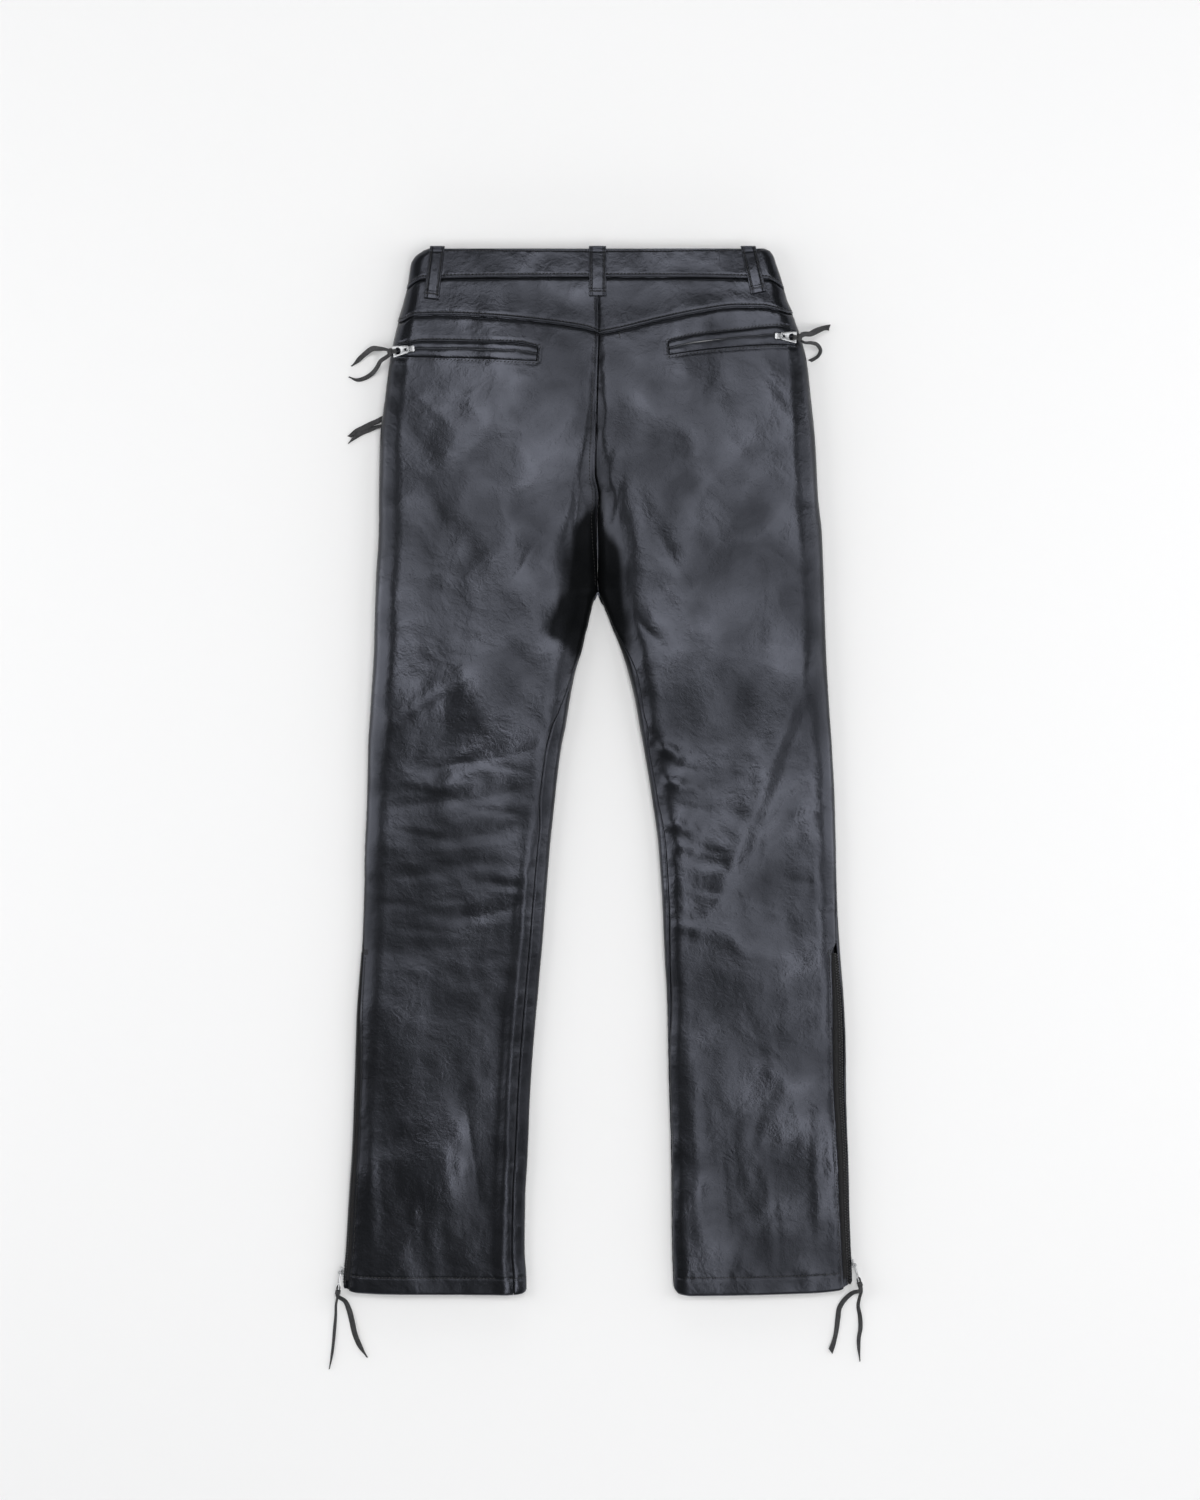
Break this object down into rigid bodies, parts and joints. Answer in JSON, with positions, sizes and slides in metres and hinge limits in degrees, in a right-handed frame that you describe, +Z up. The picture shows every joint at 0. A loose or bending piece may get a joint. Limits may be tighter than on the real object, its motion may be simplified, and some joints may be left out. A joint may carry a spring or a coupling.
{
  "type": "leather trousers",
  "caption": "Slim straight leather trousers lying flat with the back up: waistband with loops, yoke, slanted zip pockets, zips down to the hems, and leather laces on the zip pulls.",
  "frame": {"origin": "middle of the trousers as they lie, on the surface below them, measured without the laces and their knots", "axes": "+Y from hems to waist, +X to the viewer's right, +Z up, away from the surface; the back of the trousers faces up"},
  "size_m": [0.5619, 1.1792, 0.0336],
  "materials": {
    "trouser_leather": "semi-gloss black cowhide with a fine grain",
    "lace_leather": "black leather thong",
    "nickel": "plated, softly polished",
    "button_metal": "dull metal",
    "zip_tape": "black woven zip tape"
  },
  "bodies": {
    "trousers": {"back_panel_left": "trouser_leather", "back_panel_right": "trouser_leather", "belt_loop_centre": "trouser_leather", "belt_loop_front_left": "trouser_leather", "belt_loop_front_right": "trouser_leather", "belt_loop_left": "trouser_leather", "belt_loop_right": "trouser_leather", "fly_shield": "trouser_leather", "front_panel_left": "trouser_leather", "front_panel_right": "trouser_leather", "front_pocket_zip_left": "zip_tape", "front_pocket_zip_right": "zip_tape", "knot_front_pocket_left": "lace_leather", "lace_front_pocket_left_1": "lace_leather", "lace_front_pocket_left_2": "lace_leather", "leg_zip_left": "zip_tape", "leg_zip_right": "zip_tape", "pocket_welt_lower_left": "trouser_leather", "pocket_welt_lower_right": "trouser_leather", "pocket_welt_upper_left": "trouser_leather", "pocket_welt_upper_right": "trouser_leather", "pocket_zip_left": "zip_tape", "pocket_zip_right": "zip_tape", "slider_back_pocket_left": "nickel", "slider_back_pocket_right": "nickel", "slider_front_pocket_left": "nickel", "slider_front_pocket_right": "nickel", "slider_leg_left": "nickel", "slider_leg_right": "nickel", "tab_front_pocket_left": "nickel", "tab_front_pocket_right": "nickel", "waist_button": "button_metal", "waistband_left": "trouser_leather", "waistband_right": "trouser_leather", "yoke_left": "trouser_leather", "yoke_right": "trouser_leather"},
    "pull_back_pocket_left": {"knot_back_pocket_left": "lace_leather", "lace_back_pocket_left_1": "lace_leather", "lace_back_pocket_left_2": "lace_leather", "tab_back_pocket_left": "nickel"},
    "pull_back_pocket_right": {"knot_back_pocket_right": "lace_leather", "lace_back_pocket_right_1": "lace_leather", "lace_back_pocket_right_2": "lace_leather", "tab_back_pocket_right": "nickel"},
    "pull_leg_left": {"knot_leg_left": "lace_leather", "lace_leg_left_1": "lace_leather", "lace_leg_left_2": "lace_leather", "tab_leg_left": "nickel"},
    "pull_leg_right": {"knot_leg_right": "lace_leather", "lace_leg_right_1": "lace_leather", "lace_leg_right_2": "lace_leather", "tab_leg_right": "nickel"}
  },
  "joints": [
    {"name": "pull_back_pocket_left_swing", "type": "hinge", "parent": "trousers", "child": "pull_back_pocket_left", "pos_m": [-0.19856, 0.4414, 0.0314], "axis": [-0.1386, 0.9903, 0], "range_deg": [0, 100]},
    {"name": "pull_back_pocket_right_swing", "type": "hinge", "parent": "trousers", "child": "pull_back_pocket_right", "pos_m": [0.19044, 0.4552, 0.031], "axis": [-0.0599, -0.9982, 0], "range_deg": [0, 100]},
    {"name": "pull_leg_left_swing", "type": "hinge", "parent": "trousers", "child": "pull_leg_left", "pos_m": [-0.27146, -0.5262, 0.0084], "axis": [-0.1191, 0.0143, -0.9928], "range_deg": [0, 90]},
    {"name": "pull_leg_right_swing", "type": "hinge", "parent": "trousers", "child": "pull_leg_right", "pos_m": [0.26884, -0.5182, 0.0092], "axis": [-0.1191, -0.0333, 0.9923], "range_deg": [0, 90]}
  ]
}
